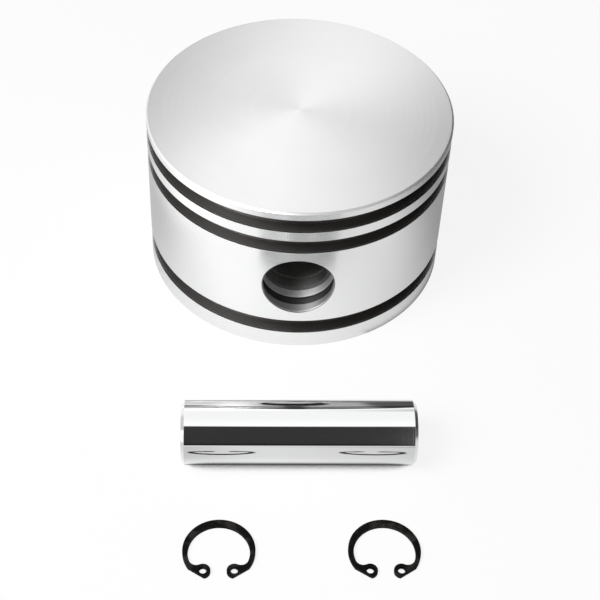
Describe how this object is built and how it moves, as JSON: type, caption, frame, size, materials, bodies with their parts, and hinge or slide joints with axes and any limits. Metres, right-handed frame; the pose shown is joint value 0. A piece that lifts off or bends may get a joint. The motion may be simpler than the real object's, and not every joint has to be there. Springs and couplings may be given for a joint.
{
  "type": "compressor piston",
  "caption": "Short trunk piston with ring grooves and a cross bore, laid out with its hollow wrist pin and the circlips that hold the pin.",
  "frame": {"origin": "where the pin bore's axis crosses the piston's axis", "axes": "+Z along the piston's axis, from the skirt to the crown; +Y along the pin bore; the loose pin and circlips lie on the -Y side"},
  "size_m": [0.09, 0.1713, 0.0532],
  "materials": {
    "turned_aluminium": "fine turned, bright, darker in the grooves",
    "ground_steel": "ground and polished",
    "black_spring_steel": "phosphated and oiled, satin black"
  },
  "bodies": {
    "root": {"piston": "turned_aluminium", "wrist_pin": "ground_steel", "circlip_left": "black_spring_steel", "circlip_right": "black_spring_steel"}
  },
  "joints": []
}
